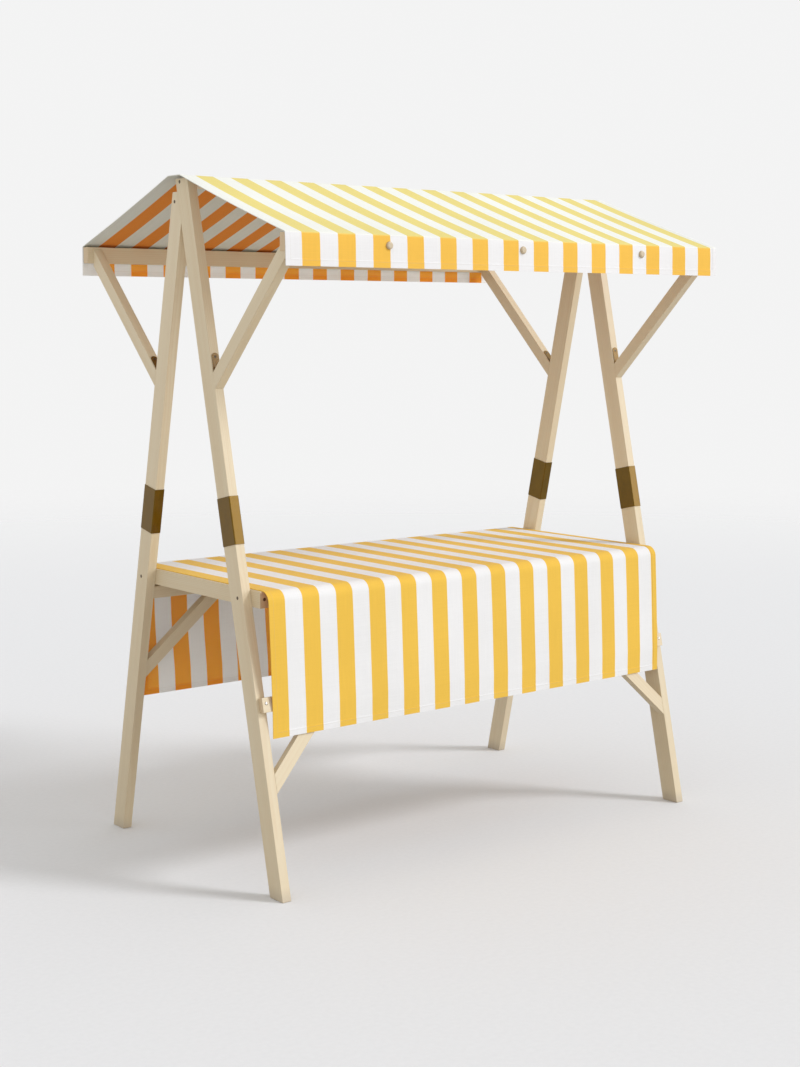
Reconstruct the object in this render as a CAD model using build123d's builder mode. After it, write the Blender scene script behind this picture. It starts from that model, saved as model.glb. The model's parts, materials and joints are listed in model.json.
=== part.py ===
"""Wooden market stall: two A-frames, a striped canopy over them and a cloth-covered counter between them.

X runs along the length, the customers stand at -Y, Z is up and the floor is Z = 0.
The origin is on the floor in the middle of the stall. All sizes are in millimetres.
"""
from build123d import *
from math import acos, atan2, cos, hypot, radians, sin, tan
import os

# A-frames
frame_span = 1774            # outer face to outer face of the two A-frames
foot_spread = 1050           # front foot to back foot, over their outer edges
leg_crotch_drop = 146        # ridge to where the legs' inner edges meet
leg_thickness = 32           # along X
leg_depth = 68               # across the leg, in the plane of the A-frame
splice_along = 1172          # floor to the joint of the two leg lengths, along the leg
sleeve_length = 150
sleeve_wall = 1.6
sleeve_fit = 0.2             # gap all round between a leg and its sleeve
sleeve_corner = 3
front_leg_drop = 10          # ridge to the level cut on top of the front legs
back_leg_drop = 49

# Canopy and what carries it
ridge_height = 2200
ridge_flat = 69              # level strip of cloth over the ridge beam
ridge_beam_width = 68
ridge_beam_height = 32
canopy_overhang = 24         # past the A-frames' outer faces, at each end
canopy_depth = 1215          # over the two valances
canopy_rise = 197            # eaves to ridge
valance_drop = 98
cloth_thickness = 3
cloth_fit = 0.3              # gap between cloth and the wood that carries it
eave_rail_thickness = 28
eave_rail_inset = 2          # from the end of the canopy to the end of the rail
rail_height = 54
button_diameter = 24
button_height = 7
button_crown = 5.5
button_spacing = 537
button_count = 3
button_drop = 32             # below the eave

# Braces
brace_depth = 43
brace_angle = 45
eave_brace_drop = 11         # an eave brace's lower edge below the rail that it meets
knee_thickness = 26
front_knee_rise = 297        # rise of a knee brace's lower edge, along the leg
back_knee_rise = 288
back_inset = 6               # back rail and its knee braces, from the legs' inner edges
bracket_length = 62
bracket_width = 24
bracket_gauge = 2
bracket_end_radius = 11
bracket_hole = 5
bracket_hole_inset = 12      # from the flange's end to the hole
front_rail_thickness = 20
front_rail_height = 46
front_rail_inset = 9         # from an A-frame's outer face to the end of the front rail
front_rail_drop = 369        # counter to the front rail's lower edge
back_rail_drop = 103         # counter to the back rail's lower edge

# Counter
counter_height = 932
counter_depth = 744
end_rail_height = 52
end_rail_corner = 3
table_rail_thickness = 28
board_thickness = 18
board_count = 14
board_gap = 8
bearer_width = 32
bearer_count = 3
bearer_spacing = 280
counter_cloth_gap = 8.5      # from each end of the cloth to the legs
hem_drop = 449               # counter to the hems of the cloth
front_nose_radius = 36
back_nose_radius = 12
front_nose_reach = 34        # cloth in front of the end rails
back_nose_reach = 15
hang_radius = 90             # soft bend where a drop leaves the wood

crotch_height = ridge_height - leg_crotch_drop
frame_half = frame_span / 2
inner_half = frame_half - leg_thickness
foot_half = foot_spread / 2
lean = acos(leg_depth / hypot(foot_half, crotch_height)) - atan2(crotch_height, foot_half)
brace_slope = radians(brace_angle)
canopy_length = frame_span + 2 * canopy_overhang
canopy_half = canopy_length / 2
eave_height = ridge_height - canopy_rise
eave_half = canopy_depth / 2
counter_half = counter_depth / 2
eave_rail_outer = eave_half - cloth_thickness - cloth_fit
eave_rail_inner = eave_rail_outer - eave_rail_thickness
ends = {"left": -1, "right": 1}
sides = {"front": -1, "back": 1}

os.makedirs("parts", exist_ok=True)


def save(builder, name):
    """Labels a finished piece and writes its file."""
    builder.part.label = name
    export_step(builder.part, f"parts/{name}.step")


def leg_point(side, along, across):
    """(Y, Z) of a point on a leg: along it from the floor, across it from its outer edge."""
    y = foot_half - along * sin(lean) - across * cos(lean)
    z = along * cos(lean) - across * sin(lean)
    return (side * y, z)


def leg_level(side, height, across):
    """(Y, Z) of the point of a leg that is at this height and this far from its outer edge."""
    return leg_point(side, (height + across * sin(lean)) / cos(lean), across)


def end_plane(end):
    """Y-Z plane on the face of an A-frame that is nearer to -X."""
    return Plane.YZ.offset(-frame_half if end < 0 else inner_half)


def leg_face_plane(side):
    """Plane on the outer edge faces of the legs: x along X, y up the legs, z outwards."""
    return Plane(
        origin=(0, side * foot_half, 0),
        x_dir=(-side, 0, 0),
        z_dir=(0, side * cos(lean), sin(lean)),
    )


# Legs in two lengths, joined end to end inside a metal sleeve. The front legs run up to the
# ridge. The back legs are mitred against the front legs' inner edges and cut level on top.
front_leg_top = ridge_height - front_leg_drop
back_leg_top = ridge_height - back_leg_drop

for end_name, end in ends.items():
    for side_name, side in sides.items():
        with BuildPart() as lower_leg:
            with BuildSketch(end_plane(end)):
                with BuildLine():
                    Polyline(
                        leg_level(side, 0, 0),
                        leg_level(side, 0, leg_depth),
                        leg_point(side, splice_along, leg_depth),
                        leg_point(side, splice_along, 0),
                        close=True,
                    )
                make_face()
            extrude(amount=leg_thickness)
        save(lower_leg, f"{end_name}_{side_name}_lower_leg")

        if side_name == "front":
            top_points = [leg_level(side, front_leg_top, leg_depth), leg_level(side, front_leg_top, 0)]
        else:
            top_points = [
                (0, crotch_height),
                leg_level(-side, back_leg_top, leg_depth),
                leg_level(side, back_leg_top, 0),
            ]
        with BuildPart() as upper_leg:
            with BuildSketch(end_plane(end)):
                with BuildLine():
                    Polyline(
                        leg_point(side, splice_along, 0),
                        leg_point(side, splice_along, leg_depth),
                        *top_points,
                        close=True,
                    )
                make_face()
            extrude(amount=leg_thickness)
        save(upper_leg, f"{end_name}_{side_name}_upper_leg")

        sleeve_start = leg_point(side, splice_along - sleeve_length / 2, leg_depth / 2)
        sleeve_plane = Plane(
            origin=(end * (frame_half - leg_thickness / 2), *sleeve_start),
            x_dir=(1, 0, 0),
            z_dir=(0, -side * sin(lean), cos(lean)),
        )
        bore_width = leg_thickness + 2 * sleeve_fit
        bore_depth = leg_depth + 2 * sleeve_fit
        with BuildPart() as sleeve:
            with BuildSketch(sleeve_plane):
                RectangleRounded(bore_width + 2 * sleeve_wall, bore_depth + 2 * sleeve_wall, sleeve_corner)
                Rectangle(bore_width, bore_depth, mode=Mode.SUBTRACT)
            extrude(amount=sleeve_length)
        save(sleeve, f"{end_name}_{side_name}_sleeve")


# Ridge beam, laid flat between the tops of the A-frames.
ridge_beam_z = ridge_height - cloth_thickness - cloth_fit - ridge_beam_height / 2
with BuildPart() as ridge_beam:
    with BuildSketch(Plane.YZ.offset(-inner_half)):
        with Locations((0, ridge_beam_z)):
            Rectangle(ridge_beam_width, ridge_beam_height)
    extrude(amount=2 * inner_half)
save(ridge_beam, "ridge_beam")


# Eave rails, on edge behind the valances.
eave_rail_top = eave_height - cloth_thickness
for side_name, side in sides.items():
    rail_centre = (side * (eave_rail_outer - eave_rail_thickness / 2), eave_rail_top - rail_height / 2)
    with BuildPart() as eave_rail:
        with BuildSketch(Plane.YZ.offset(-(canopy_half - eave_rail_inset))):
            with Locations(rail_centre):
                Rectangle(eave_rail_thickness, rail_height)
        extrude(amount=canopy_length - 2 * eave_rail_inset)
    save(eave_rail, f"{side_name}_eave_rail")


# Eave braces: each rises outwards from the outer edge of a leg to the inner face of an eave rail.
brace_lift = brace_depth / cos(brace_slope)
head_low = (eave_rail_inner, eave_rail_top - rail_height - eave_brace_drop)
head_high = (eave_rail_inner, head_low[1] + brace_lift)
brace_base = head_low[1] - eave_rail_inner * tan(brace_slope)


def brace_meets_leg(lift):
    """(Y, Z) where a brace edge, this far above the lower one, meets the outer edge of a leg."""
    z = (brace_base + lift + foot_half * tan(brace_slope)) / (1 + tan(lean) * tan(brace_slope))
    return (foot_half - z * tan(lean), z)


foot_low = brace_meets_leg(0)
foot_high = brace_meets_leg(brace_lift)

for end_name, end in ends.items():
    for side_name, side in sides.items():
        with BuildPart() as eave_brace:
            with BuildSketch(end_plane(end)):
                with BuildLine():
                    Polyline(
                        *[(side * y, z) for y, z in (foot_low, head_low, head_high, foot_high)],
                        close=True,
                    )
                make_face()
            extrude(amount=leg_thickness)
        save(eave_brace, f"{end_name}_{side_name}_eave_brace")


# Folded brackets in the acute corners above the eave braces: one flange lies on the leg and the
# other on the brace, each with a rounded end and a screw hole.
leg_direction = Vector(0, -sin(lean), cos(lean))
brace_direction = Vector(0, cos(brace_slope), sin(brace_slope))
fold_inset = bracket_gauge / tan((radians(90) - brace_slope + lean) / 2)

for end_name, end in ends.items():
    for side_name, side in sides.items():
        corner = Vector(0, side * foot_high[0], foot_high[1])
        along_leg = Vector(0, side * leg_direction.Y, leg_direction.Z)
        along_brace = Vector(0, side * brace_direction.Y, brace_direction.Z)
        off_leg = Vector(0, side * cos(lean), sin(lean))
        off_brace = Vector(0, -side * sin(brace_slope), cos(brace_slope))
        profile = [
            corner,
            corner + along_leg * bracket_length,
            corner + along_leg * bracket_length + off_leg * bracket_gauge,
            corner + along_leg * fold_inset + off_leg * bracket_gauge,
            corner + along_brace * bracket_length + off_brace * bracket_gauge,
            corner + along_brace * bracket_length,
        ]
        bracket_start = end_plane(end).offset((leg_thickness - bracket_width) / 2)
        leg_hole = corner + along_leg * (bracket_length - bracket_hole_inset) + off_leg * bracket_gauge
        brace_hole = corner + along_brace * (bracket_length - bracket_hole_inset) + off_brace * bracket_gauge
        middle = end * (frame_half - leg_thickness / 2)
        with BuildPart() as bracket:
            with BuildSketch(bracket_start):
                with BuildLine():
                    Polyline(*[(point.Y, point.Z) for point in profile], close=True)
                make_face()
            extrude(amount=bracket_width)
            flange_corners = bracket.edges().sort_by(SortBy.LENGTH)[:4]
            fillet(flange_corners, bracket_end_radius)
            with Locations(
                Plane(origin=(middle, leg_hole.Y, leg_hole.Z), z_dir=off_leg),
                Plane(origin=(middle, brace_hole.Y, brace_hole.Z), z_dir=off_brace),
            ):
                Hole(bracket_hole / 2, depth=bracket_gauge)
        save(bracket, f"{end_name}_{side_name}_brace_bracket")


# The front rail lies on the outer edge faces of the front legs, with knee braces behind it. The
# back rail runs between the back legs, near their inner edges, with knee braces under it.
end_rail_low = counter_height - end_rail_height
back_outer = leg_depth - back_inset - knee_thickness
back_inner = leg_depth - back_inset
front_rail_along = (counter_height - front_rail_drop) / cos(lean)
back_rail_along = (counter_height - back_rail_drop + back_inner * sin(lean)) / cos(lean)

with BuildPart() as front_lower_rail:
    with BuildSketch(leg_face_plane(-1)):
        with Locations((0, front_rail_along + front_rail_height / 2)):
            Rectangle(frame_span - 2 * front_rail_inset, front_rail_height)
    extrude(amount=front_rail_thickness)
save(front_lower_rail, "front_lower_rail")

with BuildPart() as back_rail:
    with BuildSketch(leg_face_plane(1).offset(-back_outer)):
        with Locations((0, back_rail_along + brace_depth / 2)):
            Rectangle(2 * inner_half, brace_depth)
    extrude(amount=-knee_thickness)
save(back_rail, "back_rail")

knee_outer = {"front": 0, "back": back_outer}
knee_tops = {"front": front_rail_along + front_rail_height, "back": back_rail_along}
knee_lows = {"front": knee_tops["front"] - front_knee_rise, "back": knee_tops["back"] - back_knee_rise}

for side_name, side in sides.items():
    knee_low = knee_lows[side_name]
    knee_top = knee_tops[side_name]
    knee_run = (knee_top - knee_low) / tan(brace_slope)
    knee_upper_run = (knee_top - knee_low - brace_lift) / tan(brace_slope)
    for end_name, end in ends.items():
        turn = -side * end
        with BuildPart() as knee_brace:
            with BuildSketch(leg_face_plane(side).offset(-knee_outer[side_name])):
                with BuildLine():
                    Polyline(
                        (turn * inner_half, knee_low),
                        (turn * (inner_half - knee_run), knee_top),
                        (turn * (inner_half - knee_upper_run), knee_top),
                        (turn * inner_half, knee_low + brace_lift),
                        close=True,
                    )
                make_face()
            extrude(amount=-knee_thickness)
        save(knee_brace, f"{end_name}_{side_name}_knee_brace")


# Counter frame: end rails inside the A-frames, long table rails and bearers between them, and
# boards across the bearers.
table_rail_half = inner_half - leg_thickness
board_area_half = counter_half - table_rail_thickness
table_rail_y = counter_half - table_rail_thickness / 2

for end_name, end in ends.items():
    with BuildPart() as end_rail:
        with BuildSketch(Plane.YZ.offset(-inner_half if end < 0 else table_rail_half)):
            with Locations((0, counter_height - end_rail_height / 2)):
                Rectangle(counter_depth, end_rail_height)
        extrude(amount=leg_thickness)
        upper_corners = end_rail.edges().filter_by(Axis.X).group_by(Axis.Z)[-1]
        fillet(upper_corners, end_rail_corner)
    save(end_rail, f"{end_name}_end_rail")

for side_name, side in sides.items():
    with BuildPart() as table_rail:
        with BuildSketch(Plane.YZ.offset(-table_rail_half)):
            with Locations((side * table_rail_y, counter_height - end_rail_height / 2)):
                Rectangle(table_rail_thickness, end_rail_height)
        extrude(amount=2 * table_rail_half)
        nose = table_rail.edges().filter_by(Axis.X).group_by(Axis.Z)[-1].sort_by(Axis.Y)
        fillet(nose[0] if side < 0 else nose[-1], end_rail_corner)
    save(table_rail, f"{side_name}_table_rail")

board_low = counter_height - board_thickness
with BuildPart() as table_bearers:
    with BuildSketch(Plane.XY.offset(end_rail_low)):
        with GridLocations(0, bearer_spacing, 1, bearer_count):
            Rectangle(2 * table_rail_half, bearer_width)
    extrude(amount=board_low - end_rail_low)
save(table_bearers, "table_bearers")

board_width = (2 * table_rail_half - (board_count - 1) * board_gap) / board_count
with BuildPart() as table_boards:
    with BuildSketch(Plane.XY.offset(board_low)):
        with GridLocations(board_width + board_gap, 0, board_count, 1):
            Rectangle(board_width, 2 * board_area_half)
    extrude(amount=board_thickness)
save(table_boards, "table_boards")


# Counter cloth: over the boards with a drop in front and behind. The front drop is held out by
# the lower rail and hangs straight below it. The back drop passes the counter's frame and then
# leans in against the feet of the back knee braces.
rail_corner = leg_point(-1, front_rail_along, -front_rail_thickness)
knee_corner = leg_point(1, knee_lows["back"], back_outer)
hem_height = counter_height - hem_drop
counter_cloth_length = 2 * (inner_half - counter_cloth_gap)
front_hang = rail_corner[0] - cloth_fit - cloth_thickness
cloth_top = counter_height + cloth_fit + cloth_thickness
front_nose = -(counter_half + front_nose_reach)
back_nose = counter_half + back_nose_reach
back_touch = knee_corner[0] + cloth_fit + cloth_thickness
back_slope = (back_nose - back_touch) / (end_rail_low - knee_corner[1])
back_hem = back_touch - back_slope * (knee_corner[1] - hem_height)

with BuildPart() as counter_cloth:
    with BuildSketch(Plane.YZ.offset(-counter_cloth_length / 2)):
        with BuildLine():
            FilletPolyline(
                (front_hang, hem_height),
                (front_hang, rail_corner[1]),
                (front_nose, cloth_top),
                (back_nose, cloth_top),
                (back_nose, end_rail_low),
                (back_hem, hem_height),
                radius=[hang_radius, front_nose_radius, back_nose_radius, hang_radius],
            )
            offset(amount=cloth_thickness, side=Side.RIGHT)
        make_face()
    extrude(amount=counter_cloth_length)
save(counter_cloth, "counter_cloth")


# Canopy: two slopes with a level strip over the ridge, and a valance along each eave. The
# gables are open.
ridge_half = ridge_flat / 2
valance_low = eave_height - valance_drop
with BuildPart() as canopy:
    with BuildSketch(Plane.YZ.offset(-canopy_half)):
        with BuildLine():
            Polyline(
                (-eave_half, valance_low),
                (-eave_half, eave_height),
                (-ridge_half, ridge_height),
                (ridge_half, ridge_height),
                (eave_half, eave_height),
                (eave_half, valance_low),
            )
            offset(amount=cloth_thickness, side=Side.RIGHT, kind=Kind.INTERSECTION)
        make_face()
    extrude(amount=canopy_length)
save(canopy, "canopy")


# Round buttons that pin the valances to the eave rails.
for side_name, side in sides.items():
    button_plane = Plane(
        origin=(0, side * eave_half, eave_height - button_drop),
        x_dir=(-side, 0, 0),
        z_dir=(0, side, 0),
    )
    with BuildPart() as buttons:
        with BuildSketch(button_plane):
            with GridLocations(button_spacing, 0, button_count, 1):
                Circle(button_diameter / 2)
        extrude(amount=button_height)
        rims = buttons.faces().sort_by(Axis((0, 0, 0), (0, side, 0)))[-button_count:].edges()
        fillet(rims, button_crown)
    save(buttons, f"{side_name}_valance_buttons")
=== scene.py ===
"""Looks of the wooden market stall: pine timber, striped cloth, bronze metal and a plain studio.

Metres, in the frame of the model: X along the stall, the customers at -Y, Z up, the floor at Z = 0.
"""
import json
import math
import random

import bpy
from mathutils import Matrix, Vector, noise


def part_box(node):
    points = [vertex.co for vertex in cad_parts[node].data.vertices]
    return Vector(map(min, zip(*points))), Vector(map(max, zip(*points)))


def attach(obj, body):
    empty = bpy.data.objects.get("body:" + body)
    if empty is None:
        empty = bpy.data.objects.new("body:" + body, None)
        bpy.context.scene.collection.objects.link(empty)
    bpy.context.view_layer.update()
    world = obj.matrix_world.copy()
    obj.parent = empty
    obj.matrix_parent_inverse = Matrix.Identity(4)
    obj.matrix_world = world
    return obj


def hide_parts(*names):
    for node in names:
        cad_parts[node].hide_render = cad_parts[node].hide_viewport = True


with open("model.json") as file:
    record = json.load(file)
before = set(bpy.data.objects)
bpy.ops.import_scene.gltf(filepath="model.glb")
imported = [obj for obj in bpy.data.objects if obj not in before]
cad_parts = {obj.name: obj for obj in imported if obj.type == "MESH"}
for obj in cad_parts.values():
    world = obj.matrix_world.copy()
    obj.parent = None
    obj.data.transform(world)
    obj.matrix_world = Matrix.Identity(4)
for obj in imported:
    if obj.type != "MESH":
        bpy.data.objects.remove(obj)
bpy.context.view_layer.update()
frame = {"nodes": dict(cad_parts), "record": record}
nodes = frame["nodes"]

# The photograph's view, in its frame of 800 by 1067 pixels
image_height = 1067
focal_pixels = 1692
camera_place = (-3.6684, -4.6277, 1.7371)
camera_yaw = math.radians(38.27)      # from +Y towards +X
camera_pitch = math.radians(-7.03)
camera_roll = math.radians(0.09)

# Light. Each lamp has a direction towards it, a strength, a colour and the angle that it fills. The
# fill is a weak wide one, which the front legs mirror.
lamps = {
    "sun": ((0.524, -0.576, 0.629), 1.25, (1.0, 1.0, 1.03), math.radians(14)),
    "fill": ((0.630, -0.742, 0.232), 0.50, (1.0, 1.0, 1.0), math.radians(20)),
}
horizon_colour = (0.93, 0.895, 0.845)  # warm, as the light that a plaza's walls throw back
zenith_colour = (0.66, 0.665, 0.67)
backdrop_strength = 0.90
floor_tones = ((0.775, 0.785, 0.80), (0.795, 0.805, 0.82))
floor_bounce = (0.50, 0.485, 0.46)    # the floor's colour for the light that it throws back
floor_radius = 40
floor_corners = 64
floor_depth = 0.0005                  # below the feet
floor_fade = (4.0, 13.0)              # the floor fades into the background between these distances

# Timber
lean = math.radians(12.5)             # of the legs, from upright
timber_edge = 0.0014                  # eased edges
ring_pitch = 0.0052                   # from one growth ring to the next
pale_pine = (0.765, 0.672, 0.490)
amber_pine = (0.680, 0.540, 0.350)
patch_pine = (0.745, 0.65, 0.475)
pine_spread = 0.035                   # how much lighter or darker one timber may be
knee_thickness = 0.026
front_rail_thickness = 0.020
bracket_length = 0.062
bracket_gauge = 0.002
bracket_hole_inset = 0.012

# Screws
head_radius = 0.0040
head_height = 0.0011
recess_depth = 0.0009
recess_reach = 0.0024
recess_half_width = 0.0006
painted_shade_radius = 0.0054                  # painted shade: a dark ring round the heads that are let into wood, for the shade in their countersunk holes
dark_head, zinc_head, painted_shade_slot = range(3)  # material slots of the screws
leg_screws = ((0.005, 2.180), (0.037, 2.121), (-0.295, 0.906), (0.295, 0.906))  # Y and Z
end_rail_screw_z = 0.907
front_rail_screw_x = 0.864
front_rail_screw_rise = 0.005         # above the middle of the rail's face

# Cloth
cloth_gap = 0.0003                    # between cloth and timber
cloth_thickness = 0.0014
hem_thickness = 0.0022
hem_width = 0.020
hem_step = 0.0006                     # width of the step where a hem begins
stripe_pitch = 0.0643
stripe_softness = 0.0011
canopy_first_boundary = -0.854
counter_first_boundary = -0.7865
counter_tones = ((0.865, 0.875, 0.89, 1.0), (0.87, 0.55, 0.080, 1.0))
valance_tones = ((0.875, 0.88, 0.90, 1.0), (0.92, 0.545, 0.085, 1.0))
# Painted light: the insides' white and deeper orange stand in for light through the cloth, on top of the
# real light through it that light_through gives.
inside_tones_painted_light = ((0.86, 0.875, 0.88, 1.0), (0.97, 0.365, 0.037, 1.0))
# Painted light: the roof slopes are paler and creamier outside, for the stronger light that falls on the
# roof.
roof_tones_painted_light = ((0.865, 0.88, 0.83, 1.0), (0.80, 0.68, 0.215, 1.0))
# Painted light: the roof's underside is greyer and a deeper orange, for the shade under the roof and the
# tint of light through it.
underside_tones_painted_light = ((0.75, 0.78, 0.74, 1.0), (0.80, 0.26, 0.020, 1.0))
light_through = 0.8                   # share of an inside that shows light from the other side
light_reach = 0.006
thread_pitch = 0.0009
stitch_inset = 0.0165
stitch_pitch = 0.0036
grid_step = 0.012
arc_steps = 8
button_spacing = 0.537
eave_lift = 0.0009                    # of the canopy's bend, off the top of the eave rail
canopy_bends = (0.003, 0.012, 0.012, 0.003)
valance_stand_off = 0.0015
valance_onset = 0.020                 # below the bend, where it stands off in full
valance_ripple = 0.0010
valance_ripple_length = 0.47
valance_waver = 0.0012
button_slack = 0.0011                 # how far a valance bulges between two buttons
roof_sag = 0.0030
sag_end = 1.06                        # the sag ends at 1/1.06 of a slope, before the ridge
slope_waver = 0.0006
nose_reach = 0.031                    # of the counter cloth's bend, in front of the end rails
back_reach = 0.012
counter_bends = (0.087, 0.034, 0.010, 0.087)
flat_height = 0.03                    # below the counter's top, where the drops begin to move
waver_onset = 0.12                    # the height in which their waver reaches its full size
front_stand_off = 0.0010
front_waver = 0.0016
hem_ripple = 0.0012                   # of the front drop
hem_ripple_length = 0.61
hem_ripple_reach = 0.10               # above the hem, where it has died away
back_belly = 0.006
back_waver = 0.0008
back_hem_swing = 0.004

ends = {"left": -1, "right": 1}
sides = {"front": -1, "back": 1}


class Graph:
    """The nodes of one material, or of a world."""

    def __init__(self, name="", world=None):
        self.material = world or bpy.data.materials.new(name)
        self.material.use_nodes = True
        self.tree = self.material.node_tree
        self.shader = self.tree.nodes["Background" if world else "Principled BSDF"]

    def put(self, socket, value):
        if isinstance(value, bpy.types.NodeSocket):
            self.tree.links.new(value, socket)
        else:
            socket.default_value = value

    def add(self, kind, settings=None, **inputs):
        node = self.tree.nodes.new(kind)
        for key, value in (settings or {}).items():
            setattr(node, key, value)
        for key, value in inputs.items():
            self.put(node.inputs[key.replace("_", " ")], value)
        return node

    def math(self, operation, first, second=0.0, third=0.0):
        node = self.add("ShaderNodeMath", {"operation": operation})
        for socket, value in zip(node.inputs, (first, second, third)):
            self.put(socket, value)
        return node.outputs[0]

    def scaled(self, vector, scale):
        node = self.add("ShaderNodeVectorMath", {"operation": "MULTIPLY"})
        self.put(node.inputs[0], vector)
        self.put(node.inputs[1], scale)
        return node.outputs[0]

    def mix(self, factor, first, second, blend="MIX"):
        node = self.add("ShaderNodeMix", {"data_type": "RGBA", "blend_type": blend})
        self.put(node.inputs[0], factor)
        self.put(node.inputs[6], first)
        self.put(node.inputs[7], second)
        return node.outputs[2]

    def span(self, value, low, high, to_low=0.0, to_high=1.0, smooth=False):
        settings = {"interpolation_type": "SMOOTHSTEP" if smooth else "LINEAR"}
        node = self.add("ShaderNodeMapRange", settings, Value=value)
        self.put(node.inputs["From Min"], low)
        self.put(node.inputs["From Max"], high)
        self.put(node.inputs["To Min"], to_low)
        self.put(node.inputs["To Max"], to_high)
        return node.outputs[0]

    def noise(self, vector, scale, detail=2.0, roughness=0.5):
        node = self.add("ShaderNodeTexNoise", Vector=vector, Scale=scale, Detail=detail)
        node.inputs["Roughness"].default_value = roughness
        return node.outputs["Fac"]

    def split(self, vector):
        return self.add("ShaderNodeSeparateXYZ", Vector=vector).outputs

    def place(self):
        return self.add("ShaderNodeTexCoord").outputs["Object"]

    def seen(self):
        """1 for the rays that show a surface to the camera, 0 for the light that it throws back."""
        path = self.add("ShaderNodeLightPath").outputs
        mirrored = self.math("MAXIMUM", path["Is Glossy Ray"], path["Is Transmission Ray"])
        return self.math("MAXIMUM", path["Is Camera Ray"], mirrored)

    def bump(self, height, distance, strength=1.0):
        node = self.add("ShaderNodeBump", Height=height, Distance=distance, Strength=strength)
        self.put(self.shader.inputs["Normal"], node.outputs[0])

    def finish(self, **inputs):
        for key, value in inputs.items():
            self.put(self.shader.inputs[key.replace("_", " ")], value)
        return self.material


def colour(red, green, blue):
    return (red, green, blue, 1.0)


def place_in_scene(name, data):
    thing = bpy.data.objects.new(name, data)
    bpy.context.scene.collection.objects.link(thing)
    return thing


# Timber

def wood_material(name, centre, along, rng):
    """Pale pine with its grain along the piece and a pith of its own."""
    g = Graph(name)
    along = Vector(along).normalized()
    across = along.cross(Vector((0.3, 0.2, 1.0) if abs(along.z) < 0.9 else (1.0, 0.2, 0.1))).normalized()
    turn = Matrix((along, across, along.cross(across)))
    pith_angle = rng.uniform(0, 2 * math.pi)
    pith_distance = rng.uniform(0.05, 0.11)
    pith_y, pith_z = pith_distance * math.cos(pith_angle), pith_distance * math.sin(pith_angle)
    pith = Vector((rng.uniform(-4, 4), pith_y, pith_z))
    mapping = g.add("ShaderNodeMapping", Vector=g.place())
    mapping.inputs["Rotation"].default_value = turn.to_euler()
    mapping.inputs["Location"].default_value = pith - turn @ Vector(centre)
    place = mapping.outputs[0]

    warp = g.add("ShaderNodeTexNoise", Vector=g.scaled(place, (1.1, 9.0, 9.0)), Scale=1.0, Detail=2.0)
    shift = g.add("ShaderNodeVectorMath", {"operation": "MULTIPLY_ADD"})
    g.put(shift.inputs[0], warp.outputs["Color"])
    g.put(shift.inputs[1], (0.0, 0.030, 0.030))
    g.put(shift.inputs[2], place)
    flat = g.add("ShaderNodeVectorMath", {"operation": "LENGTH"})
    g.put(flat.inputs[0], g.scaled(shift.outputs[0], (0.0, 1.0, 1.0)))
    rings = g.math("FRACT", g.math("DIVIDE", flat.outputs["Value"], ring_pitch))
    darkening = g.span(rings, 0.25, 0.85, smooth=True)
    late = g.math("MULTIPLY", darkening, g.span(rings, 1.0, 0.9, smooth=True))
    fibre = g.noise(g.scaled(place, (5.0, 420.0, 420.0)), 1.0, 3.0, 0.6)
    streak = g.noise(g.scaled(place, (0.9, 34.0, 34.0)), 1.0, 3.0, 0.55)
    patch = g.noise(g.scaled(place, (2.2, 7.0, 7.0)), 1.0, 1.0)

    tone = rng.uniform(-pine_spread, pine_spread)
    pale, amber, blotch = [
        colour(*(part + tone for part in pine)) for pine in (pale_pine, amber_pine, patch_pine)
    ]
    depth = g.math("MULTIPLY_ADD", late, 0.30, g.math("MULTIPLY", g.span(streak, 0.30, 0.75), 0.45))
    depth = g.math("MULTIPLY_ADD", g.span(fibre, 0.35, 0.75), 0.22, depth)
    base = g.mix(g.math("MINIMUM", depth, 1.0), pale, amber)
    base = g.mix(g.span(patch, 0.35, 0.7, 0.0, 0.35), base, blotch)

    normal = g.add("ShaderNodeTexCoord").outputs["Normal"]
    facing = g.add("ShaderNodeVectorMath", {"operation": "DOT_PRODUCT"})
    g.put(facing.inputs[0], normal)
    g.put(facing.inputs[1], tuple(along))
    end_grain = g.span(g.math("ABSOLUTE", facing.outputs["Value"]), 0.55, 0.85, smooth=True)
    base = g.mix(g.math("MULTIPLY", end_grain, 0.55), base, colour(0.60, 0.42, 0.24))

    height = g.split(g.place())[2]
    dust = g.math("MULTIPLY", g.span(height, 0.05, 0.0, 0.0, 0.45, smooth=True), g.span(patch, 0.3, 0.6))
    base = g.mix(dust, base, colour(0.42, 0.37, 0.31))

    g.bump(g.math("MULTIPLY_ADD", fibre, 0.7, g.math("MULTIPLY", late, 0.3)), 0.00035, 0.5)
    return g.finish(
        Base_Color=base,
        Roughness=g.span(fibre, 0.3, 0.7, 0.40, 0.56),
        Specular_IOR_Level=0.5,
    )


def grain_direction(name):
    """The direction that a timber runs in, from its name."""
    end = -1 if name.startswith("left") else 1
    side = -1 if "front" in name else 1
    up_leg = Vector((0, -side * math.sin(lean), math.cos(lean)))
    if name.endswith("_leg"):
        return up_leg
    if name.endswith("eave_brace"):
        return Vector((0, side, 1))
    if name.endswith("knee_brace"):
        return up_leg + Vector((-end, 0, 0))
    if name.endswith("end_rail") or name == "table_boards":
        return Vector((0, 1, 0))
    return Vector((1, 0, 0))


def dress_timber():
    """Each timber gets its own piece of pine and eased edges."""
    rng = random.Random(11)
    rows = frame["record"]["subparts"]
    for name in sorted(row["node"] for row in rows if row["material_slot"] == "wood"):
        node = nodes[name]
        low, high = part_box(name)
        pine = wood_material(f"pine_{name}", (low + high) / 2, grain_direction(name), rng)
        node.material_slots[0].material = pine
        weld = node.modifiers.new("joined corners", "WELD")
        weld.merge_threshold = 1e-5
        bevel = node.modifiers.new("eased edges", "BEVEL")
        bevel.width = timber_edge
        bevel.segments = 2
        bevel.limit_method = "ANGLE"
        bevel.angle_limit = math.radians(35)
        bevel.harden_normals = True


# Metal

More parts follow.
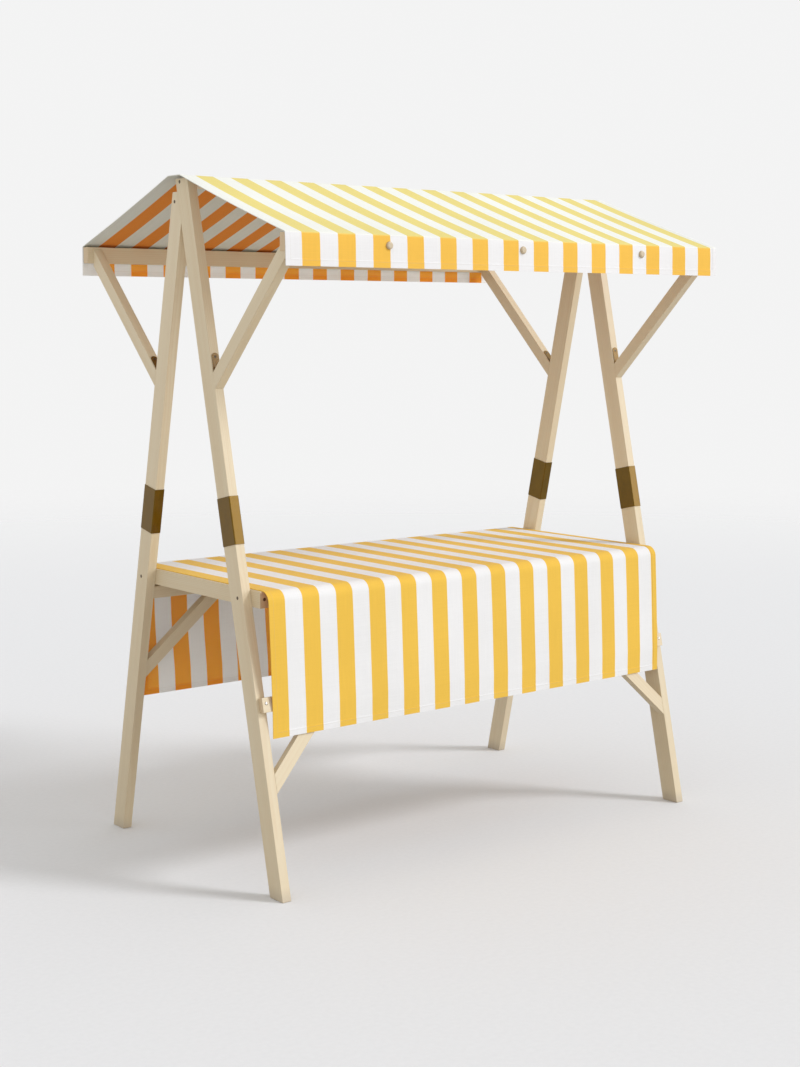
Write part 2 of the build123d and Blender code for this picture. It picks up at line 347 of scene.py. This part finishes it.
def bronze_material(name, dark, roughness, coat):
    """Dull bronze with a brushed finish, handling marks and a thin lacquer."""
    g = Graph(name)
    place = g.place()
    brushed = g.noise(g.scaled(place, (900.0, 900.0, 30.0)), 1.0, 2.0)
    marks = g.noise(g.scaled(place, (28.0, 28.0, 18.0)), 1.0, 4.0, 0.6)
    base = g.mix(g.span(marks, 0.35, 0.7), dark, tuple(1.25 * part for part in dark[:3]) + (1.0,))
    g.bump(brushed, 0.00008, 0.4)
    return g.finish(
        Base_Color=base,
        Metallic=1.0,
        Roughness=g.span(marks, 0.3, 0.7, roughness, roughness + 0.1),
        Coat_Weight=coat,
        Coat_Roughness=0.16,
    )


def button_material():
    """Satin beige resin, a little mottled, with painted shade: darker round the rim, where the dome
    turns away from the front and back.
    """
    g = Graph("button_resin")
    place = g.place()
    mottle = g.noise(place, 160.0, 3.0)
    normal = g.add("ShaderNodeTexCoord").outputs["Normal"]
    # Painted shade: the dome darkens where its surface turns away from facing ±Y.
    painted_rim_shade = g.span(g.math("ABSOLUTE", g.split(normal)[1]), 0.75, 0.15, smooth=True)
    base = g.mix(g.span(mottle, 0.35, 0.65), colour(0.60, 0.50, 0.35), colour(0.54, 0.44, 0.30))
    base = g.mix(g.math("MULTIPLY", painted_rim_shade, 0.45), base, colour(0.42, 0.30, 0.17))
    g.bump(mottle, 0.00006, 0.5)
    return g.finish(
        Base_Color=base,
        Roughness=g.span(mottle, 0.3, 0.7, 0.30, 0.40),
        Specular_IOR_Level=0.5,
    )


def dress_fittings():
    """The metal fittings and the buttons get their finishes."""
    finishes = {
        "sleeve_metal": bronze_material("bronze_sleeves", colour(0.130, 0.070, 0.002), 0.36, 0.32),
        "bracket_metal": bronze_material("bronze_brackets", colour(0.20, 0.12, 0.035), 0.50, 0.3),
        "button": button_material(),
    }
    for row in frame["record"]["subparts"]:
        if row["material_slot"] in finishes:
            nodes[row["node"]].material_slots[0].material = finishes[row["material_slot"]]


# Screws

def screw_materials():
    """Dark steel, zinc-plated steel and a dark brown paint for the shade in the countersunk holes."""
    made = []
    for name, light, dark in (
        ("dark_screws", colour(0.17, 0.14, 0.11), colour(0.12, 0.10, 0.08)),
        ("zinc_screws", colour(0.93, 0.92, 0.88), colour(0.80, 0.78, 0.72)),
    ):
        steel = Graph(name)
        wear = steel.noise(steel.place(), 900.0, 3.0)
        steel.bump(wear, 0.00003, 0.4)
        made.append(steel.finish(
            Base_Color=steel.mix(steel.span(wear, 0.3, 0.7), light, dark),
            Metallic=1.0,
            Roughness=steel.span(wear, 0.3, 0.7, 0.30, 0.42),
        ))
    # Painted shade: a dark brown disc round each let-in head stands in for the shade in its countersunk
    # hole.
    recess_shade_paint = Graph("painted_recess_shade")
    grain = recess_shade_paint.noise(recess_shade_paint.place(), 1400.0, 2.0)
    recess_shade_paint.bump(grain, 0.0001, 0.5)
    made.append(recess_shade_paint.finish(
        Base_Color=recess_shade_paint.mix(grain, colour(0.10, 0.055, 0.025), colour(0.17, 0.10, 0.05)),
        Roughness=0.8,
        Specular_IOR_Level=0.2,
    ))
    return made


def head_shape(radius, angle):
    """Height of a screw head: a low dome with a cross recess that narrows inwards."""
    part = radius / head_radius
    dome = head_height * (1 - 0.55 * part ** 4) if part < 0.999 else 0.0
    x, y = abs(radius * math.cos(angle)), abs(radius * math.sin(angle))
    arm = max(
        min(recess_half_width - y, 0.6 * (recess_reach - x)),
        min(recess_half_width - x, 0.6 * (recess_reach - y)),
    )
    return dome - recess_depth * min(1.0, max(0.0, arm / (0.5 * recess_half_width)))


def screw_places():
    """(place, outward direction, head's material, let into wood) of every screw."""
    leg_low, leg_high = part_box("right_front_upper_leg")
    rail_low, rail_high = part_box("right_end_rail")
    leg_x = (leg_low.x + leg_high.x) / 2
    rail_x = (rail_low.x + rail_high.x) / 2
    lower_rail = sum(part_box("front_lower_rail"), Vector()) / 2
    front = Vector((0, -math.cos(lean), math.sin(lean)))
    up_rail = Vector((0, math.sin(lean), math.cos(lean)))
    reach = bracket_length - bracket_hole_inset
    places = []
    for end_name, end in ends.items():
        for y, z in leg_screws:
            places.append((Vector((end * leg_high.x, y, z)), Vector((end, 0, 0)), dark_head, True))
        for side_name, side in sides.items():
            low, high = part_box(f"{end_name}_{side_name}_brace_bracket")
            outward = Vector((0, side * math.cos(lean), math.sin(lean)))
            upward = Vector((0, -side * math.sin(lean), math.cos(lean)))
            inner_y = min(abs(low.y), abs(high.y))
            corner = Vector((end * leg_x, side * (inner_y + bracket_length * math.sin(lean)), low.z))
            along_brace = Vector((0, side, 1)).normalized()
            off_brace = Vector((0, -side, 1)).normalized()
            places.append((corner + upward * reach + outward * bracket_gauge, outward, dark_head, False))
            on_brace = corner + along_brace * reach + off_brace * bracket_gauge
            places.append((on_brace, off_brace, dark_head, False))
            rail_end = Vector((end * rail_x, side * rail_high.y, end_rail_screw_z))
            places.append((rail_end, Vector((0, side, 0)), dark_head, True))
        head = Vector((end * front_rail_screw_x, lower_rail.y, lower_rail.z))
        head += front * front_rail_thickness / 2
        head += up_rail * front_rail_screw_rise
        places.append((head, front, zinc_head, True))
    return places


def build_screws():
    """All the screw heads, and the painted shade rings round the let-in ones, as one piece."""
    rings, spokes = 7, 24
    lift = 0.0002                     # of a painted shade ring, and of the head on it, off the wood
    vertices, faces, slots = [], [], []

    def add_disc(place, direction, radii, height, slot):
        across = direction.orthogonal().normalized()
        other = direction.cross(across)
        first = len(vertices)
        vertices.append(place + direction * height(0.0, 0.0))
        for radius in radii:
            for spoke in range(spokes):
                angle = 2 * math.pi * spoke / spokes
                flat = across * (radius * math.cos(angle)) + other * (radius * math.sin(angle))
                vertices.append(place + flat + direction * height(radius, angle))
        for spoke in range(spokes):
            after = (spoke + 1) % spokes
            faces.append((first, first + 1 + spoke, first + 1 + after))
            slots.append(slot)
            for ring in range(len(radii) - 1):
                a = first + 1 + ring * spokes
                faces.append((a + spoke, a + spokes + spoke, a + spokes + after, a + after))
                slots.append(slot)
        painted_rim_shade = first + 1 + (len(radii) - 1) * spokes
        faces.append(tuple(painted_rim_shade + spoke for spoke in reversed(range(spokes))))
        slots.append(slot)

    head_radii = [head_radius * (ring + 1) / rings for ring in range(rings)] + [head_radius]
    head_radii[rings - 1] *= 0.995
    painted_shade_radii = [0.4 * painted_shade_radius, 0.95 * painted_shade_radius, painted_shade_radius]

    def let_in_head(radius, angle):
        return head_shape(radius, angle) + lift

    def painted_shade_shape(radius, angle):
        return lift if radius < painted_shade_radius else 0.0

    for place, direction, head_slot, let_in in screw_places():
        add_disc(place, direction, head_radii, let_in_head if let_in else head_shape, head_slot)
        # Painted shade: a dark ring round the head, for the shade in its countersunk hole.
        if let_in:
            add_disc(place, direction, painted_shade_radii, painted_shade_shape, painted_shade_slot)
    mesh = bpy.data.meshes.new("screws")
    mesh.from_pydata(vertices, [], faces)
    for material in screw_materials():
        mesh.materials.append(material)
    mesh.polygons.foreach_set("material_index", slots)
    mesh.shade_smooth()
    mesh.set_sharp_from_angle(angle=math.radians(35))
    screws = place_in_scene("screws", mesh)
    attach(screws, "root")


# Cloth

class BentLine:
    """A line in the Y-Z plane with rounded corners, measured along its length."""

    def __init__(self, corners, radii):
        corners = [Vector(corner) for corner in corners]
        self.pieces = []
        self.length = 0.0
        start = corners[0]
        for before, corner, after, radius in zip(corners, corners[1:], corners[2:], radii):
            inward = (corner - before).normalized()
            outward = (after - corner).normalized()
            turn = inward.angle_signed(outward)
            reach = radius * math.tan(abs(turn) / 2)
            self.add_line(start, corner - inward * reach)
            self.add_arc(corner - inward * reach, inward, radius, turn)
            start = corner + outward * reach
        self.add_line(start, corners[-1])

    def add_line(self, start, finish):
        run = (finish - start).length
        self.pieces.append((self.length, run, start, (finish - start).normalized(), 0.0))
        self.length += run

    def add_arc(self, start, direction, radius, turn):
        run = radius * abs(turn)
        self.pieces.append((self.length, run, start, direction.copy(), turn))
        self.length += run

    def at(self, distance):
        """(point, outward normal) at this distance from the start."""
        piece = [row for row in self.pieces if row[0] <= distance + 1e-9][-1]
        begin, run, start, direction, turn = piece
        step = min(distance - begin, run)
        if turn == 0.0:
            return start + direction * step, Vector((-direction.y, direction.x))
        part = turn * step / run
        radius = run / abs(turn)
        chord = 2 * radius * math.sin(abs(part) / 2)
        heading = Vector((direction.x, direction.y))
        heading.rotate(Matrix.Rotation(-part / 2, 2))
        ahead = Vector((direction.x, direction.y))
        ahead.rotate(Matrix.Rotation(-part, 2))
        return start + heading * chord, Vector((-ahead.y, ahead.x))

    def stations(self, step):
        """Distances for the rows of a grid: close along the bends and step apart along the straights."""
        found = {0.0, self.length}
        for begin, run, start, direction, turn in self.pieces:
            count = arc_steps if turn else max(1, round(run / step))
            found.update(begin + run * index / count for index in range(count + 1))
        return found


def with_hems(stations, low, high, width):
    """The stations and the two lines at each hem's step, without others that lie too near."""
    lines = []
    for edge, inward in ((low, 1), (high, -1)):
        lines += [edge + inward * (width - hem_step / 2), edge + inward * (width + hem_step / 2)]
    kept = [value for value in stations if all(abs(value - line) > 0.002 for line in lines)]
    ordered = sorted(kept + lines)
    apart = [ordered[0]]
    for value in ordered[1:]:
        if value - apart[-1] > 0.0002:
            apart.append(value)
    return apart


def hem_blend(value, low, high, width):
    """1 within a hem, 0 inside of it, with a short step between."""
    depth = min(value - low, high - value)
    return min(1.0, max(0.0, (width + hem_step / 2 - depth) / hem_step))


def cloth_sheet(name, line, half_length, moved, outer_material, inner_material):
    """A closed thin sheet along the line: outside in the first material, inside in the second."""
    rows = with_hems(line.stations(grid_step), 0.0, line.length, hem_width)
    count = round(2 * half_length / grid_step)
    columns = [-half_length + 2 * half_length * index / count for index in range(count + 1)]
    columns = with_hems(columns, -half_length, half_length, hem_width)
    outer, inner, along = [], [], []
    for x in columns:
        for distance in rows:
            point, normal = line.at(distance)
            folded = max(
                hem_blend(x, -half_length, half_length, hem_width),
                hem_blend(distance, 0.0, line.length, hem_width),
            )
            thickness = cloth_thickness + folded * (hem_thickness - cloth_thickness)
            point = point + normal * moved(x, distance, point)
            inner.append((x, point.x, point.y))
            raised = point + normal * thickness
            outer.append((x, raised.x, raised.y))
            along.append(distance)
    wide = len(rows)
    size = len(outer)
    faces, slots = [], []

    def quad(corners, slot):
        faces.append(corners)
        slots.append(slot)

    for i in range(len(columns) - 1):
        for j in range(wide - 1):
            a, b, c, d = i * wide + j, (i + 1) * wide + j, (i + 1) * wide + j + 1, i * wide + j + 1
            quad((a, b, c, d), 0)
            quad((d + size, c + size, b + size, a + size), 1)
    for i in range(len(columns) - 1):
        a, b = i * wide, (i + 1) * wide
        quad((a, a + size, b + size, b), 0)
        a, b = i * wide + wide - 1, (i + 1) * wide + wide - 1
        quad((b, b + size, a + size, a), 0)
    last = (len(columns) - 1) * wide
    for j in range(wide - 1):
        quad((j + 1, j + 1 + size, j + size, j), 0)
        quad((last + j, last + j + size, last + j + 1 + size, last + j + 1), 0)
    mesh = bpy.data.meshes.new(name)
    mesh.from_pydata(outer + inner, [], faces)
    mesh.materials.append(outer_material)
    mesh.materials.append(inner_material)
    mesh.polygons.foreach_set("material_index", slots)
    attribute = mesh.attributes.new("along", "FLOAT", "POINT")
    attribute.data.foreach_set("value", along + along)
    mesh.shade_smooth()
    mesh.set_sharp_from_angle(angle=math.radians(40))
    mesh.update()
    return place_in_scene(name, mesh)


def striped_material(name, shift, tones, half, length, through=0.0, slopes=None):
    """Woven cotton with printed stripes across the stall's length, and stitched hems.

    shift moves the stripes along X, and half and length are the cloth's own. The share through of the
    surface shows light from the cloth's other side. slopes holds the distances along the cloth between
    which it has other tones, and lets no light through, and those tones. The slope tones are painted
    light: paler outside, where more light falls on the roof, and greyer with a deeper orange inside,
    for the shade under the roof and the tint of light through it.
    """
    g = Graph(name)
    place = g.place()
    x = g.split(place)[0]
    own_attribute = {"attribute_name": "along", "attribute_type": "GEOMETRY"}
    along = g.add("ShaderNodeAttribute", own_attribute).outputs["Fac"]
    wander = g.math("MULTIPLY", g.math("SUBTRACT", g.noise(place, 7.0), 0.5), 0.0012)
    wave = g.math("PINGPONG", g.math("ADD", g.math("ADD", x, shift), wander), stripe_pitch)
    middle = stripe_pitch / 2
    printed = g.span(wave, middle - stripe_softness, middle + stripe_softness, smooth=True)
    white, yellow = tones
    # Painted light: the roof slopes get their own tones, paler outside and greyer and deeper orange
    # inside.
    if slopes:
        first, last, (painted_roof_white, painted_roof_yellow) = slopes
        rising = g.span(along, first - 0.004, first + 0.002, smooth=True)
        falling = g.span(along, last + 0.004, last - 0.002, smooth=True)
        on_painted_roof = g.math("MULTIPLY", rising, falling)
        white = g.mix(on_painted_roof, white, painted_roof_white)
        yellow = g.mix(on_painted_roof, yellow, painted_roof_yellow)
        if through:
            through = g.math("MULTIPLY", g.math("SUBTRACT", 1.0, on_painted_roof), through)
    base = g.mix(printed, white, yellow)

    side_depth = g.math("SUBTRACT", half, g.math("ABSOLUTE", x))
    end_depth = g.math("MINIMUM", along, g.math("SUBTRACT", length, along))
    stitches = None
    for depth, other, travel in ((side_depth, end_depth, along), (end_depth, side_depth, x)):
        near = g.math("ABSOLUTE", g.math("SUBTRACT", depth, stitch_inset))
        line = g.span(near, 0.0007, 0.0004, smooth=True)
        dash = g.span(g.math("PINGPONG", travel, stitch_pitch / 2), 0.0005, 0.0008, smooth=True)
        inside = g.span(other, stitch_inset - 0.001, stitch_inset)
        row = g.math("MULTIPLY", g.math("MULTIPLY", line, dash), inside)
        stitches = g.math("MAXIMUM", stitches, row) if stitches else row
    base = g.mix(g.math("MULTIPLY", stitches, 0.35), base, colour(0.55, 0.50, 0.42))

    weft = g.math("SINE", g.math("MULTIPLY", x, 2 * math.pi / thread_pitch))
    warp = g.math("SINE", g.math("MULTIPLY", along, 2 * math.pi / thread_pitch))
    weave = g.math("MULTIPLY", weft, warp)
    flat = g.add("ShaderNodeCombineXYZ", X=x, Y=along).outputs[0]
    slub = g.noise(g.scaled(flat, (9.0, 700.0, 1.0)), 1.0, 2.0)
    slub = g.math("ADD", slub, g.noise(g.scaled(flat, (700.0, 9.0, 1.0)), 1.0, 2.0))
    cloud = g.noise(place, 2.6, 3.0)
    shade = g.math("ADD", g.span(slub, 0.7, 1.3, -0.03, 0.03), g.span(cloud, 0.3, 0.7, -0.03, 0.03))
    shade = g.math("MULTIPLY_ADD", weave, 0.015, shade)
    lightness = g.math("ADD", shade, 0.97)
    grey = g.add("ShaderNodeCombineXYZ", X=lightness, Y=lightness, Z=lightness).outputs[0]
    base = g.mix(1.0, base, grey, "MULTIPLY")
    relief = g.math("MULTIPLY_ADD", stitches, 3.0, g.math("MULTIPLY_ADD", slub, 0.5, weave))
    g.bump(relief, 0.00012, 0.5)
    return g.finish(
        Base_Color=base,
        Roughness=0.86,
        Specular_IOR_Level=0.18,
        Sheen_Weight=0.08,
        Sheen_Roughness=0.5,
        Subsurface_Weight=through,
        Subsurface_Radius=(1.0, 1.0, 1.0),
        Subsurface_Scale=light_reach,
    )


def smooth_noise(x, y, seed):
    return noise.noise(Vector((x, y, seed)))


def build_canopy():
    """The canopy: over the ridge beam and the eave rails, with a valance hanging from each eave."""
    low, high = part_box("canopy")
    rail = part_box("back_eave_rail")[1]
    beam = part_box("ridge_beam")[1]
    half = high.x
    eave_y = rail.y + cloth_gap
    eave_z = rail.z + eave_lift
    ridge_z = beam.z + cloth_gap
    front_half = [(-eave_y, low.z), (-eave_y, eave_z), (-beam.y, ridge_z)]
    back_half = [(-y, z) for y, z in reversed(front_half)]
    line = BentLine(front_half + back_half, canopy_bends)
    drop = eave_z - low.z
    slope = (line.length - 2 * drop) / 2

    def moved(x, distance, point):
        """How far a point moves outwards: the valances hang a little loose, and the slopes sag."""
        edge = min(distance, line.length - distance)
        side = 1.0 if distance < line.length / 2 else 2.0
        if edge < drop:
            free = (drop - edge) / drop
            off_rail = valance_stand_off * min(1.0, (drop - edge) / valance_onset)
            slack = button_slack * math.sin(math.pi * x / button_spacing) ** 2 * min(1.0, 2 * free)
            ripple = 0.5 + 0.5 * math.sin(2 * math.pi * x / valance_ripple_length + side)
            waver = valance_ripple * ripple + valance_waver * smooth_noise(3.1 * x, 0.0, side)
            return off_rail + slack + free ** 2 * waver
        part = (edge - drop) / slope
        sag = -roof_sag * max(0.0, math.sin(math.pi * min(1.0, part * sag_end)))
        waver = slope_waver * math.sin(math.pi * min(1.0, part))
        return sag + waver * smooth_noise(4.0 * x, 3.0 * part, side)

    shift = stripe_pitch / 2 - canopy_first_boundary
    slopes = (drop, line.length - drop)
    # Painted light: the outside of the roof slopes is painted paler than the valances.
    outside = striped_material(
        "canopy_cloth_outside", shift, valance_tones, half, line.length,
        slopes=(*slopes, roof_tones_painted_light))
    # Painted light: the inside's tones stand in for light through the cloth, and under the roof also for
    # its shade.
    inside = striped_material(
        "canopy_cloth_inside", shift, inside_tones_painted_light, half, line.length, light_through,
        slopes=(*slopes, underside_tones_painted_light))
    canopy = cloth_sheet("canopy_cloth", line, half, moved, outside, inside)
    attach(canopy, "root")
    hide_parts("canopy")


def build_counter_cloth():
    """The counter's cloth: flat over the boards, a soft nose in front, and two straight drops.

    The front drop hangs from the front rail's outer corner. The back drop leans on the feet of the
    back knee braces.
    """
    low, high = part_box("counter_cloth")
    end_rail_low, end_rail_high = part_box("left_end_rail")
    front_rail_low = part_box("front_lower_rail")[0]
    knee_low, knee_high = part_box("left_back_knee_brace")
    half = high.x
    top = end_rail_high.z + cloth_gap
    frame_z = end_rail_low.z
    front_y = front_rail_low.y - cloth_gap
    front_rail_corner_z = front_rail_low.z + front_rail_thickness * math.sin(lean)
    back_y = end_rail_high.y + back_reach
    touch = Vector((knee_high.y + cloth_gap, knee_low.z + knee_thickness * math.sin(lean)))
    hem_y = touch.x - (back_y - touch.x) / (frame_z - touch.y) * (touch.y - low.z)
    corners = [
        (front_y, low.z),
        (front_y, front_rail_corner_z),
        (end_rail_low.y - nose_reach, top),
        (back_y, top),
        (back_y, frame_z),
        (hem_y, low.z),
    ]
    line = BentLine(corners, counter_bends)

    def moved(x, distance, point):
        """How far a point moves outwards: both drops waver, and the back one bellies a little."""
        height = top - point.y
        if height < flat_height:
            return 0.0
        if point.x > 0:
            part = (frame_z - point.y) / (frame_z - touch.y)
            belly = back_belly * math.sin(math.pi * part) if 0 < part < 1 else 0.0
            below = max(0.0, part - 1.0)
            free = min(1.0, height / waver_onset)
            waver = free * back_waver * (1 + smooth_noise(3.4 * x, 2.0 * distance, 4.0))
            return belly + waver + back_hem_swing * below
        free = min(1.0, (height - flat_height) / waver_onset)
        near_hem = max(0.0, 1 - distance / hem_ripple_reach)
        ripple = 0.5 + 0.5 * math.sin(2 * math.pi * x / hem_ripple_length + 3.0)
        waver = front_stand_off + front_waver * smooth_noise(3.4 * x, 2.0 * distance, 3.0)
        return free * waver + near_hem * hem_ripple * ripple

    shift = -stripe_pitch / 2 - counter_first_boundary
    outside = striped_material(
        "counter_cloth_outside", shift, counter_tones, half, line.length)
    # Painted light: the inside's tones stand in for light through the cloth.
    inside = striped_material(
        "counter_cloth_inside", shift, inside_tones_painted_light, half, line.length, light_through)
    cloth = cloth_sheet("counter_drape", line, half, moved, outside, inside)
    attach(cloth, "root")
    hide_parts("counter_cloth")


# Studio

def build_studio():
    """A pale floor that fades into a pale background, soft-edged lamps and the sky's soft light."""
    mesh = bpy.data.meshes.new("floor")
    turns = [2 * math.pi * index / floor_corners for index in range(floor_corners)]
    corners = [(floor_radius * math.cos(turn), floor_radius * math.sin(turn), 0.0) for turn in turns]
    mesh.from_pydata(corners, [], [tuple(range(floor_corners))])
    floor = place_in_scene("floor", mesh)
    floor.location.z = -floor_depth
    g = Graph("floor_paint")
    place = g.place()
    grit = g.noise(place, 60.0, 3.0)
    pale = g.mix(g.span(grit, 0.3, 0.7), *(colour(*tone) for tone in floor_tones))
    g.finish(
        Base_Color=g.mix(g.seen(), colour(*floor_bounce), pale),
        Roughness=0.9,
        Specular_IOR_Level=0.1,
    )
    far = g.add("ShaderNodeVectorMath", {"operation": "LENGTH"})
    g.put(far.inputs[0], place)
    clear = g.add("ShaderNodeBsdfTransparent")
    blend = g.add("ShaderNodeMixShader")
    g.put(blend.inputs[0], g.span(far.outputs["Value"], floor_fade[0], floor_fade[1], smooth=True))
    g.put(blend.inputs[1], g.shader.outputs[0])
    g.put(blend.inputs[2], clear.outputs[0])
    g.put(g.tree.nodes["Material Output"].inputs["Surface"], blend.outputs[0])
    mesh.materials.append(g.material)

    world = bpy.data.worlds.new("studio")
    bpy.context.scene.world = world
    sky = Graph(world=world)
    height = sky.split(sky.add("ShaderNodeTexCoord").outputs["Generated"])[2]
    dome = sky.mix(sky.span(height, 0.0, 1.0), colour(*horizon_colour), colour(*zenith_colour))
    backdrop = colour(backdrop_strength, backdrop_strength, backdrop_strength)
    sky.put(sky.shader.inputs["Color"], sky.mix(sky.seen(), dome, backdrop))

    for name, (direction, strength, tint, angle) in lamps.items():
        lamp = bpy.data.lights.new(name, "SUN")
        lamp.energy = strength
        lamp.color = tint
        lamp.angle = angle
        light = place_in_scene(name, lamp)
        light.rotation_euler = Vector(direction).to_track_quat("Z", "Y").to_euler()


def place_camera():
    """The camera stands where the photograph was taken from."""
    data = bpy.data.cameras.new("camera")
    data.lens = focal_pixels / image_height * data.sensor_width
    camera = place_in_scene("camera", data)
    camera.location = camera_place
    camera.rotation_euler = (math.pi / 2 + camera_pitch, camera_roll, -camera_yaw)
    bpy.context.scene.camera = camera


dress_timber()
dress_fittings()
build_screws()
build_canopy()
build_counter_cloth()
build_studio()
place_camera()
bpy.context.scene.view_settings.view_transform = "Standard"

bpy.context.view_layer.update()
